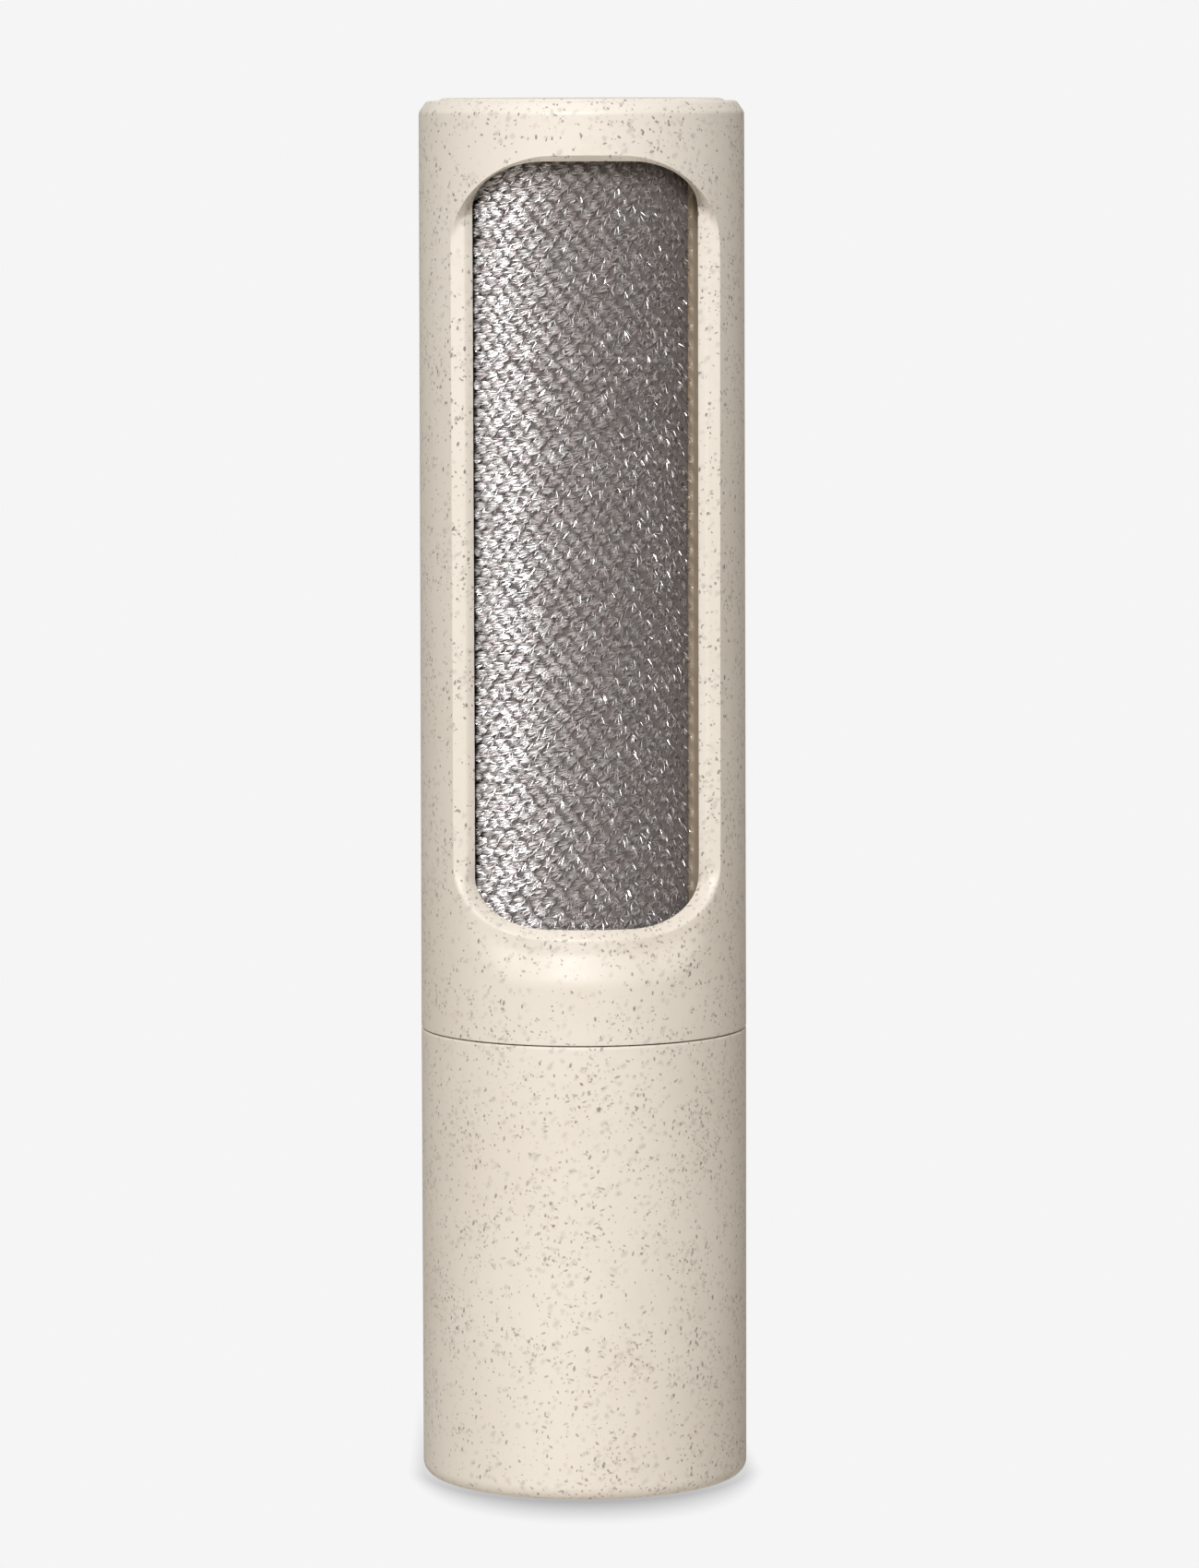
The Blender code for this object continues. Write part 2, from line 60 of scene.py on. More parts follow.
# Housing and handle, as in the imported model
SEAM_Z = 59.0 * MM
SEAM_HALF = 0.08 * MM
HOUSING_FOOT_Z = SEAM_Z + SEAM_HALF
GAP = 0.3 * MM
BASE_R = 21.2 * MM
TOP_R = 21.0 * MM
BORE_R = 18.8 * MM
CHAMFER_Z = 177.8 * MM
CHAMFER_W = 1.0 * MM
RIM_Z = 179.25 * MM
TOP_Z = 179.6 * MM
SHELF_R = 17.0 * MM
SHELF_Z = (175.3 * MM, 176.7 * MM)
FLOOR_T = 2.4 * MM
FILLET = 1.8 * MM
POST_R = 4.2 * MM
POST_TOP_Z = 46.8 * MM
PILOT_R = 1.8 * MM
PILOT_DEPTH = 15.0 * MM
KEY_R = 17.6 * MM
KEY_W = 4.0 * MM
KEY_TOP_Z = 63.3 * MM
KEY_SUNK = 0.3 * MM  # how far a key's foot goes into the housing's wall
KEY_STEPS = 9
CAP_R = 18.5 * MM
CAP_BEVEL = 0.6 * MM
BUSH_HOLE = (3.3 * MM, 178.7 * MM)

# Window: half width, low edge, high edge, corner sizes (across, up) at the bottom and at the top, in mm
WINDOW_EDGE = (17.2, 72.4, 172.5, (11.0, 9.0), (13.2, 11.6))
WINDOW_OPENING = (14.4, 73.7, 171.7, (9.0, 6.1), (9.0, 6.1))
SCOOP_EDGE = (17.6, 66.4, 172.9, (9.6, 14.0), (13.5, 11.9))
CORNER_TOP_Z = (WINDOW_EDGE[1] + WINDOW_EDGE[3][1]) * MM  # where the window's lower corners end
SCOOP_DEPTH = 1.45 * MM
SCOOP_FADE = (8.0 * MM, 16.0 * MM)  # it runs out between these distances from the middle
SCOOP_FLOOR = 0.08  # share of its width, next to the window's edge, that has the full depth
# Share of the ring's width that its inner bevel takes: up the sides, and along the top and bottom
BEVEL_SHARE = (0.38, 0.95)
BEVEL_SPREAD = (0.7, 1.6)  # power of the change from one to the other, in the lower corners and above them
BEVEL_DROP = 1.05 * MM
BEVEL_LOSS = 0.45  # how much shallower the bevel is up the sides, above the lower corners
RING_TILT = 0.16  # how far the facet comes forward towards the opening, as a share of its width in x
EDGE_ROUNDING, RIDGE_ROUNDING = 0.25 * MM, 0.30 * MM
LIP_ROUNDING, REAR_ROUNDING = 0.10 * MM, 0.05 * MM
REAR_INSET = (0.1 * MM, 0.2 * MM)  # the line behind the lip is this far inside the bore and the lip
# The scoop's last loops and the ring are smoothed together at the bottom of the window
SOFT_LOOPS = 5
SOFT_ROUNDS = 30
SOFT_REACH = 1.6  # how fast it grows to its full strength below the end of the lower corners
BOTTOM_STEPS, CORNER_STEPS, SIDE_STEPS, TOP_STEPS = 16, 24, 48, 16
RINGS = 22
BAND_RINGS = 14
BORE_RINGS = 8
BORE_CROWDING = 1.5  # the loops in the bore are closer together near the window
BACK_STEPS = 72
LATHE_STEPS = 256
PROFILE_STEPS = 4  # on each rounded corner of a turned profile
SUPPORT_SPACING = 1.5 * MM  # of the extra points along a long straight line of a profile
SUPPORT_NEAR = 0.15 * MM  # how near its ends the first and last of them are
TOP_ROUNDING, SMALL_ROUNDING = 0.35 * MM, 0.12 * MM

# Pads: a curved cloth, and fibres in tufts on it
CLOTH_R = 17.1 * MM
CLOTH_T = 0.15 * MM
CLOTH_TOP_R = CLOTH_R + CLOTH_T
CLOTH_STEPS = (64, 120)  # across and up
THREAD_HEIGHT = 0.02 * MM
THREAD_PITCH = (0.5 * MM, 0.6 * MM)
PAD_HALF = math.radians(51.8)
HALF_ARC = PAD_HALF * CLOTH_TOP_R
NAP_MARGIN = 0.62 * MM  # bare cloth at the edge that the pile leans towards
TOP_MARGIN = 0.5 * MM
DRUM_TURN = math.radians(-2.2)
TUFT_PITCH = (2.0 * MM, 2.4 * MM)
TUFT_SHIFT, TUFT_REACH, TUFT_TURN = 0.06 * MM, 0.07, 0.09  # how much the tufts differ
LEAN_DOWN = math.radians(13)
FIBRE_REACH = 1.02 * MM
FIBRE_HEIGHT = 0.72 * MM
FIBRE_SPREAD = (0.16, 0.10, 0.11)  # how much the fibres of a tuft differ in direction, reach and height
# Height in a tuft's middle, and how much lower it gets away from the lean and higher towards it
TUFT_TILT = (1.06, 0.18)
EDGE_REACH = (0.1, 0.55)  # share of the reach at the other edge, and its rise for each mm from there
PILE_TOP_R = 18.05 * MM
ROOT_SPREAD = 0.34 * MM
TIP_SPREAD = (0.34 * MM, 0.40 * MM)
STOPS = np.array([0.0, 0.35, 0.7, 1.0])  # along a fibre
RISE_POWER, RUN_POWER = 0.85, 1.25
FIBRE_ROLL = 0.45
TWISTED, FALLING = 0.34, 0.24  # shares of the fibres: twisted out of line, and leaning more downward
TWISTED_ROLL = 1.1
FALLING_TURN = (0.95, 0.3)  # mean and spread, in radians
FALLING_LOSS, FALLING_WIDTH = 0.2, 0.80
STRAY = 0.02  # share of the fibres that stand out of their tuft
STRAY_TURN, STRAY_RISE, STRAY_REACH = 0.9, 0.22 * MM, (0.2, 1.1)
WIDTH_RANGE = (0.75, 1.2)
WIDTH_STOPS = (0.9, 1.0, 0.8)  # share of the width at the first three stops. The fourth is the tip.
FIBRE_FLATNESS = 0.3  # thickness as a share of the width

rng = np.random.default_rng(7)


def add_object(name, verts, faces, material, body, slot, merge=False, sharp=50.0):
    """A mesh in the row frame that rides on a body, with doubled points merged if asked."""
    mesh = bpy.data.meshes.new(name)
    verts = np.asarray(verts, float)
    if isinstance(faces, np.ndarray):
        mesh.vertices.add(len(verts))
        mesh.vertices.foreach_set("co", verts.ravel())
        mesh.loops.add(faces.size)
        mesh.loops.foreach_set("vertex_index", faces.ravel().astype(np.int32))
        mesh.polygons.add(len(faces))
        mesh.polygons.foreach_set("loop_start", np.arange(0, faces.size, faces.shape[1], dtype=np.int32))
        mesh.update(calc_edges=True)
        mesh.validate()
    else:
        mesh.from_pydata([tuple(v) for v in verts], [], faces)
    if merge:
        bm = bmesh.new()
        bm.from_mesh(mesh)
        bmesh.ops.remove_doubles(bm, verts=bm.verts, dist=2e-7)
        bmesh.ops.dissolve_degenerate(bm, edges=bm.edges, dist=1e-8)
        bmesh.ops.recalc_face_normals(bm, faces=bm.faces)
        bm.to_mesh(mesh)
        bm.free()
    if sharp:
        mesh.shade_smooth()
        mesh.set_sharp_from_angle(angle=math.radians(sharp))
    else:
        mesh.shade_flat()
    obj = bpy.data.objects.new(name, mesh)
    bpy.context.scene.collection.objects.link(obj)
    mesh.materials.append(material)
    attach(obj, body)
    return obj


# Shells


def smooth(t):
    return t * t * (3 - 2 * t)


def outer_radius(z):
    """The housing's outside: a slight taper from the seam up."""
    t = (z - SEAM_Z) / (CHAMFER_Z - SEAM_Z)
    return BASE_R + (TOP_R - BASE_R) * np.clip(t, 0, 1)


def outline(half, low, high, corner_low, corner_high):
    """(x, z) round a window in metres, anticlockwise from the left end of its bottom edge."""
    parts = []

    def flat(a, b, count):
        t = np.arange(count)[:, None] / count
        parts.append(np.array(a) * (1 - t) + np.array(b) * t)

    def corner(cx, cz, rx, rz, first, count):
        a = np.radians(first + 90 * np.arange(count) / count)
        parts.append(np.stack([cx + rx * np.cos(a), cz + rz * np.sin(a)], 1))

    (ax, az), (bx, bz) = corner_low, corner_high
    flat((ax - half, low), (half - ax, low), BOTTOM_STEPS)
    corner(half - ax, low + az, ax, az, -90, CORNER_STEPS)
    flat((half, low + az), (half, high - bz), SIDE_STEPS)
    corner(half - bx, high - bz, bx, bz, 0, CORNER_STEPS)
    flat((half - bx, high), (bx - half, high), TOP_STEPS)
    corner(bx - half, high - bz, bx, bz, 90, CORNER_STEPS)
    flat((-half, high - bz), (-half, low + az), SIDE_STEPS)
    corner(ax - half, low + az, ax, az, 180, CORNER_STEPS)
    return np.concatenate(parts) * MM


def on_tube(phi, z, radius):
    """Points at these angles, heights and radii."""
    return np.stack([radius * np.sin(phi), -radius * np.cos(phi), z + 0 * phi], -1)


def on_angles(points, radius):
    """(phi, z) of (x, z) points on the front of a tube."""
    return np.stack([np.arcsin(points[:, 0] / radius), points[:, 1]], 1)


def border(edge, z_low, z_high):
    """(phi, z) on the rectangle round the front half, one for each point of the window's edge."""
    step = np.linalg.norm(np.roll(edge, -1, 0) - edge, axis=1)
    half = CORNER_STEPS // 2
    lower_right = BOTTOM_STEPS + half
    upper_right = BOTTOM_STEPS + CORNER_STEPS + SIDE_STEPS + half
    upper_left = upper_right + half + TOP_STEPS + half
    lower_left = len(edge) - half
    corners = [lower_left - len(edge), lower_right, upper_right, upper_left, lower_left]
    places = [(-1, z_low), (1, z_low), (1, z_high), (-1, z_high), (-1, z_low)]
    found = np.zeros_like(edge)
    for (first, last), (a, b) in zip(zip(corners, corners[1:]), zip(places, places[1:])):
        index = np.arange(first, last + 1)
        along = np.concatenate([[0], np.cumsum(step[index[:-1] % len(edge)])])
        t = (along / along[-1])[:, None]
        found[index % len(edge)] = np.array(a) * (1 - t) + np.array(b) * t
    found[:, 0] *= math.pi / 2
    return found, lower_right, upper_right, upper_left


def toward(a, b, length):
    """The point that far from a towards b, at most 45% of the way."""
    d = b - a
    n = np.linalg.norm(d, axis=-1, keepdims=True)
    return a + d * np.minimum(length / np.maximum(n, 1e-9), 0.45)


def rounding(before, at, after, length, steps):
    """Loops round the corner that three loops make."""
    a, b = toward(at, before, length), toward(at, after, length)
    found = []
    for t in np.linspace(0, 1, steps + 1):
        found.append(a * (1 - t) ** 2 + 2 * at * t * (1 - t) + b * t * t)
    return found


def rounded_profile(points):
    """(r, z) points from (r, z, rounding) corners."""
    found = []
    for i, (r, z, length) in enumerate(points):
        here = np.array((r, z))
        if length == 0 or i in (0, len(points) - 1):
            found.append(here)
            continue
        before, after = np.array(points[i - 1][:2]), np.array(points[i + 1][:2])
        found += rounding(before, here, after, length, PROFILE_STEPS)
    return np.array(found)


def quads(rows, columns, around=False):
    """Faces between the points of a grid that is kept row by row, with each row closed if it goes around."""
    faces = []
    for k in range(rows - 1):
        for i in range(columns if around else columns - 1):
            j = (i + 1) % columns
            faces.append((k * columns + i, k * columns + j, (k + 1) * columns + j, (k + 1) * columns + i))
    return faces


def turned_patch(profile, phis):
    """Verts and quads of a profile carried along the angles."""
    verts = np.concatenate([on_tube(phis, z, r) for r, z in profile])
    return verts, quads(len(profile), len(phis))


def scoop_band(edge, scoop, share):
    """Loops from the scoop's outer edge to the window's edge."""
    fade = np.clip((np.abs(edge[:, 0]) - SCOOP_FADE[0]) / (SCOOP_FADE[1] - SCOOP_FADE[0]), 0, 1)
    depth = SCOOP_DEPTH * np.sin(0.5 * math.pi * share) * (1 - smooth(fade))
    band = []
    for t in np.linspace(1, 0, BAND_RINGS + 1):
        place = edge * (1 - t) + scoop * t
        rise = smooth(np.clip((t - SCOOP_FLOOR) / (1 - SCOOP_FLOOR), 0, 1))
        radius = outer_radius(place[:, 1])
        phi = np.arcsin(place[:, 0] / radius)
        band.append(on_tube(phi, place[:, 1], radius - depth * (1 - rise)))
    return band


def window_ring(edge, opening, band, share):
    """The ring's loops from the scoop inwards, then its ridge, its lip and the line behind the lip.

    The ring is a nearly flat facet that is wide at the sides, then a bevel down to the opening.
    """
    run = np.gradient(edge, axis=0)
    level = np.abs(run[:, 0]) / np.linalg.norm(run, axis=1)  # 1 along the top and bottom, 0 up the sides
    high = edge[:, 1] > CORNER_TOP_Z
    spread = (level ** np.where(high, BEVEL_SPREAD[1], BEVEL_SPREAD[0]))[:, None]
    width = BEVEL_SHARE[0] * (1 - spread) + BEVEL_SHARE[1] * spread
    flat = opening + width * (edge - opening)
    ridge_y = -band[-1][:, 1] + RING_TILT * np.abs(band[-1][:, 0] - flat[:, 0])
    ridge = np.stack([flat[:, 0], -ridge_y, flat[:, 1]], 1)
    drop = BEVEL_DROP * np.where(high, 1 - BEVEL_LOSS * (1 - level**2), 1.0)
    lip = np.stack([opening[:, 0], drop - ridge_y, opening[:, 1]], 1)
    rear_r = np.minimum(BORE_R - REAR_INSET[0], np.hypot(lip[:, 0], lip[:, 1]) - REAR_INSET[1])
    rear = on_tube(np.arcsin(opening[:, 0] / rear_r), opening[:, 1], rear_r)
    ring = band[-SOFT_LOOPS:-1] + rounding(band[-2], band[-1], ridge, EDGE_ROUNDING, 4)
    ring = np.array(ring + rounding(band[-1], ridge, lip, RIDGE_ROUNDING, 5))
    soft = np.clip(SOFT_REACH * share, 0, 1)[:, None]
    for _ in range(SOFT_ROUNDS):
        ring[1:-1] += 0.5 * soft * ((ring[:-2] + ring[2:]) / 2 - ring[1:-1])
    return list(ring), ridge, lip, rear


def housing_mesh():
    """The sleeve: a patch round the window through to the bore, the back, and the turned rim and foot."""
    verts, faces = [], []

    def patch(v, f):
        first = sum(len(x) for x in verts)
        verts.append(v)
        faces.extend(tuple(first + i for i in face) for face in f)

    edge, opening, scoop = (outline(*o) for o in (WINDOW_EDGE, WINDOW_OPENING, SCOOP_EDGE))
    # Between these heights the sleeve is made from the window's loops and the back, outside and inside
    z_out = (HOUSING_FOOT_Z + 0.4 * MM, CHAMFER_Z - 0.5 * MM)
    z_in = (HOUSING_FOOT_Z + 0.3 * MM, SHELF_Z[0])
    outer, lower_right, upper_right, upper_left = border(edge, *z_out)
    inner = border(edge, *z_in)[0]

    contour = on_angles(scoop, outer_radius(scoop[:, 1]))
    loops = []
    for t in np.linspace(1, 0, RINGS + 1)[:-1]:
        place = contour * (1 - t) + outer * t
        loops.append(on_tube(place[:, 0], place[:, 1], outer_radius(place[:, 1])))
    # 1 at the window's bottom edge, 0 from the end of the lower corners up
    share = np.clip((CORNER_TOP_Z - edge[:, 1]) / (WINDOW_EDGE[3][1] * MM), 0, 1)
    band = scoop_band(edge, scoop, share)
    ring, ridge, lip, rear = window_ring(edge, opening, band, share)
    bore = on_angles(opening, BORE_R)
    bore_loops = []
    for t in np.linspace(0, 1, BORE_RINGS + 1)[1:] ** BORE_CROWDING:
        place = bore * (1 - t) + inner * t
        bore_loops.append(on_tube(place[:, 0], place[:, 1], BORE_R))
    loops += band[:-SOFT_LOOPS] + ring
    loops += rounding(ridge, lip, rear, LIP_ROUNDING, 3)
    loops += rounding(lip, rear, bore_loops[0], REAR_ROUNDING, 2) + bore_loops
    patch(np.concatenate(loops), quads(len(loops), len(edge), around=True))

    back = np.linspace(math.pi / 2, 1.5 * math.pi, BACK_STEPS + 1)
    for rect, radius in ((outer, outer_radius), (inner, lambda z: BORE_R)):
        column = rect[lower_right : upper_right + 1, 1]
        v = np.concatenate([on_tube(back, z, radius(z)) for z in column])
        patch(v, quads(len(column), len(back)))

    top = outer[upper_right : upper_left + 1, 0][::-1]
    low = np.concatenate([outer[-(CORNER_STEPS // 2) :, 0], outer[: lower_right + 1, 0]])
    top_phis, low_phis = np.concatenate([top, back[1:]]), np.concatenate([low, back[1:]])
    rim = [(float(outer_radius(z_out[1])), z_out[1], 0), (TOP_R, CHAMFER_Z, TOP_ROUNDING)]
    rim += [(TOP_R - CHAMFER_W, RIM_Z, TOP_ROUNDING), (BORE_R, RIM_Z, SMALL_ROUNDING)]
    rim += [(BORE_R, SHELF_Z[1], 0), (SHELF_R, SHELF_Z[1], 0)]
    rim += [(SHELF_R, SHELF_Z[0], 0), (BORE_R, SHELF_Z[0], 0)]
    patch(*turned_patch(rounded_profile(rim), top_phis))
    foot = [(float(outer_radius(z_out[0])), z_out[0], 0), (BASE_R, HOUSING_FOOT_Z, SMALL_ROUNDING)]
    foot += [(BORE_R, HOUSING_FOOT_Z, SMALL_ROUNDING), (BORE_R, z_in[0], 0)]
    patch(*turned_patch(rounded_profile(foot), low_phis))
    return np.concatenate(verts), faces


def lathe(profile):
    """Verts and faces of an (r, z) profile turned once round, with both its ends on the axis."""
    return turned_patch(profile, np.linspace(0, TURN, LATHE_STEPS + 1))


def supported(points):
    """The same profile with more points along its long straight lines."""
    found = [points[0]]
    for a, b in zip(points, points[1:]):
        length = float(np.hypot(*(b - a)))
        count = max(1, int(length / SUPPORT_SPACING))
        if length > 3 * SUPPORT_SPACING:
            near = SUPPORT_NEAR / length
            stops = np.concatenate([[near], np.linspace(0, 1, count + 1)[1:-1], [1 - near]])
        else:
            stops = np.linspace(0, 1, count + 1)[1:-1]
        found += [a * (1 - t) + b * t for t in stops]
        found.append(b)
    return np.array(found)


def handle_mesh():
    """The cup with its rounded base edge and its screw post."""
    top = SEAM_Z - SEAM_HALF
    turns = np.linspace(0, math.pi / 2, 13)
    arc = [(BASE_R - FILLET + FILLET * math.sin(a), FILLET - FILLET * math.cos(a)) for a in turns]
    profile = [np.array(p) for p in [(0, 0)] + arc]
    rest = [(BASE_R, FILLET, 0), (BASE_R, top, 0.30 * MM), (BORE_R, top, SMALL_ROUNDING)]
    rest += [(BORE_R, FLOOR_T, 0.8 * MM), (POST_R, FLOOR_T, 0.8 * MM)]
    rest += [(POST_R, POST_TOP_Z, 0.2 * MM), (PILOT_R, POST_TOP_Z, 0.15 * MM)]
    rest += [(PILOT_R, POST_TOP_Z - PILOT_DEPTH, 0), (0, POST_TOP_Z - PILOT_DEPTH, 0)]
    return lathe(supported(np.array(profile + list(rounded_profile(rest)[1:]))))


def cap_mesh():
    """The raised disc in the top, with the bush's blind hole in its underside."""
    foot = SHELF_Z[1] + GAP
    points = [(0, BUSH_HOLE[1], 0), (BUSH_HOLE[0], BUSH_HOLE[1], 0), (BUSH_HOLE[0], foot, 0.1 * MM)]
    points += [(CAP_R, foot, 0.1 * MM), (CAP_R, RIM_Z, SMALL_ROUNDING)]
    points += [(CAP_R - CAP_BEVEL, TOP_Z, 0.25 * MM), (0, TOP_Z, 0)]
    return lathe(supported(rounded_profile(points)))


def keys_mesh():
    """The two ribs in the housing's foot that drop into the swivel ring's slots."""
    verts, faces = [], []
    half = math.asin(KEY_W / 2 / KEY_R)
    low, high = HOUSING_FOOT_Z + GAP, KEY_TOP_Z
    points = [(BORE_R + KEY_SUNK, low, 0), (KEY_R, low, 0.2 * MM), (KEY_R, high, 0.5 * MM)]
    points += [(BORE_R + KEY_SUNK, high + KEY_SUNK, 0)]
    profile = rounded_profile(points)
    count = len(profile)
    profile = np.concatenate([profile, profile[:1]])
    for middle in (math.pi / 2, -math.pi / 2):
        first = sum(len(v) for v in verts)
        v, f = turned_patch(profile, middle + np.linspace(-half, half, KEY_STEPS))
        f.append(tuple(k * KEY_STEPS for k in range(count)))
        f.append(tuple((k + 1) * KEY_STEPS - 1 for k in reversed(range(count))))
        verts.append(v)
        faces += [tuple(first + i for i in face) for face in f]
    return np.concatenate(verts), faces


# Pile


def cloth_mesh(middle, low, high):
    """The woven base of a pad: a thin curved sheet, closed all round."""
    across, up = CLOTH_STEPS
    phis = middle + np.linspace(-PAD_HALF, PAD_HALF, across + 1)
    zs = np.linspace(low, high, up + 1)
    phi, z = np.meshgrid(phis, zs)
    wave = THREAD_HEIGHT * np.sin(TURN * (phi * CLOTH_R) / THREAD_PITCH[0])
    wave = wave * np.sin(TURN * z / THREAD_PITCH[1])
    wave[:, [0, -1]] = 0
    wave[[0, -1]] = 0
    outer = on_tube(phi.ravel(), z.ravel(), (CLOTH_TOP_R + wave).ravel())
    inner = on_tube(phi.ravel(), z.ravel(), np.full(phi.size, CLOTH_R))
    m, count = across + 1, phi.size
    faces = []
    for k in range(up):
        for i in range(across):
            a = k * m + i
            faces.append((a, a + 1, a + m + 1, a + m))
            faces.append((count + a, count + a + m, count + a + m + 1, count + a + 1))
    for i in range(across):
        b = up * m + i
        faces.append((i, count + i, count + i + 1, i + 1))
        faces.append((b, b + 1, count + b + 1, count + b))
    for k in range(up):
        a, b = k * m, k * m + across
        faces.append((a, a + m, count + a + m, count + a))
        faces.append((b, count + b, count + b + m, b + m))
    return np.concatenate([outer, inner]), faces


def tuft_places(low, high):
    """(s, z) of each tuft on the flat cloth, s along the arc, staggered."""
    found = []
    for half in (0, 1):
        s = np.arange(HALF_ARC - (0.25 + half) * TUFT_PITCH[0] / 2, NAP_MARGIN - HALF_ARC, -TUFT_PITCH[0])
        z = np.arange(low + (0.5 + half) * TUFT_PITCH[1] / 2, high - TOP_MARGIN, TUFT_PITCH[1])
        a, b = np.meshgrid(s, z)
        found.append(np.stack([a.ravel(), b.ravel()], 1))
    return np.concatenate(found)


def fibre_lines(places, middle, nap, per_tuft):
    """Four points along each fibre of these tufts, and which of the fibres lean more downward."""
    count = len(places) * per_tuft
    tuft = np.repeat(np.arange(len(places)), per_tuft)
    shift = rng.normal(0, TUFT_SHIFT, (len(places), 2))
    lean = rng.normal(1.0, TUFT_REACH, len(places))
    turn = rng.normal(0, TUFT_TURN, len(places))
    angle = rng.uniform(0, TURN, count)
    out = np.sqrt(rng.uniform(0, 1, count))
    root = places[tuft] + shift[tuft]
    root = root + ROOT_SPREAD * np.stack([out * np.cos(angle), out * np.sin(angle)], 1)
    slope = LEAN_DOWN + turn[tuft] + rng.normal(0, FIBRE_SPREAD[0], count)
    reach = FIBRE_REACH * lean[tuft] * rng.normal(1.0, FIBRE_SPREAD[1], count)
    to_edge = HALF_ARC - root[:, 0]
    reach *= np.clip(EDGE_REACH[0] + EDGE_REACH[1] * to_edge / MM, EDGE_REACH[0], 1.0)
    reach = np.minimum(reach, 2 * HALF_ARC - to_edge - NAP_MARGIN)
    height = FIBRE_HEIGHT * rng.normal(1.0, FIBRE_SPREAD[2], count)
    height = height * (TUFT_TILT[0] - TUFT_TILT[1] * out * np.cos(angle))
    fan = np.stack([TIP_SPREAD[0] * out * np.cos(angle), TIP_SPREAD[1] * out * np.sin(angle)], 1)
    falling = rng.uniform(0, 1, count) < FALLING
    slope += falling * rng.normal(*FALLING_TURN, count)
    height *= 1 - FALLING_LOSS * falling
    stray = rng.uniform(0, 1, count) < STRAY
    slope = np.where(stray, slope + rng.normal(0, STRAY_TURN, count), slope)
    height = np.where(stray, height + STRAY_RISE, height)
    reach = np.where(stray, reach * rng.uniform(*STRAY_REACH, count), reach)
    middle_r = CLOTH_R + 0.5 * CLOTH_T
    rise = np.minimum(height + 0.5 * CLOTH_T, PILE_TOP_R - CLOTH_R - 0.5 * CLOTH_T)
    line = []
    for up, along in zip(STOPS**RISE_POWER, STOPS**RUN_POWER):
        s = root[:, 0] - reach * along * np.cos(slope) + fan[:, 0] * up
        z = root[:, 1] - reach * along * np.sin(slope) + fan[:, 1] * up
        line.append(on_tube(middle + nap * s / CLOTH_TOP_R, z, middle_r + rise * up))
    return np.stack(line, 1), falling


def fibres_mesh(places, middle, nap, per_tuft, width):
    """Verts and triangles of the fibres of these tufts: flat tapes, broad side out, that lean
    to the left and down, or to the right with nap -1."""
    line, falling = fibre_lines(places, middle, nap, per_tuft)
    count = len(line)
    outward = line[:, -1] * (1, 1, 0)
    outward /= np.linalg.norm(outward, axis=1, keepdims=True)
    roll = rng.normal(0, FIBRE_ROLL, count)
    roll = (roll + (rng.uniform(0, 1, count) < TWISTED) * rng.normal(0, TWISTED_ROLL, count))[:, None]
    wide = (width * rng.uniform(*WIDTH_RANGE, count) * np.where(falling, FALLING_WIDTH, 1.0))[:, None]
    rings = []
    for k, share in enumerate(WIDTH_STOPS):
        along = line[:, k + 1] - line[:, max(k - 1, 0)]
        along /= np.linalg.norm(along, axis=1, keepdims=True)
        level = np.cross(outward, along)
        level /= np.linalg.norm(level, axis=1, keepdims=True)
        front = np.cross(along, level)
        side = level * np.cos(roll) + front * np.sin(roll)
        back = level * np.sin(roll) - front * np.cos(roll)
        for a, b in ((0.5, 0.0), (-0.5, 0.0), (0.0, FIBRE_FLATNESS)):
            rings.append(line[:, k] + (side * a + back * b) * wide * share)
    rings.append(line[:, 3])
    verts = np.stack(rings, 1)
    # Three points at each of three stops and one at the tip: a face at the root, then the sides
    tris = [(0, 2, 1)]
    for k in range(2):
        for c in range(3):
            a, b = 3 * k + c, 3 * k + (c + 1) % 3
            tris += [(a, b, b + 3), (a, b + 3, a + 3)]
    tris += [(6, 7, 9), (7, 8, 9), (8, 6, 9)]
    faces = (np.arange(count)[:, None, None] * len(rings) + np.array(tris)[None]).reshape(-1, 3)
    return verts.reshape(-1, 3), faces


# Materials

CREAM_A = (0.736, 0.664, 0.574)
CREAM_B = (0.703, 0.624, 0.534)
# Painted light: the colour the plastic takes near the top, where more light falls
CREAM_LIT_TOP = (0.792, 0.720, 0.636)
CREAM_SHADE = (0.653, 0.579, 0.483)
BLUR_GREY = (0.41, 0.37, 0.345)
BLUR_PINK = (0.58, 0.45, 0.37)
BLUR_CELL = 2.3  # mm
BLUR_SHARE, BLUR_STRENGTH = 0.38, 0.42
GRAIN_DARK = (0.115, 0.08, 0.07)
GRAIN_GREY = (0.235, 0.18, 0.158)
GRAIN_RED = (0.26, 0.135, 0.10)
QUARTER_TURN = math.pi / 2
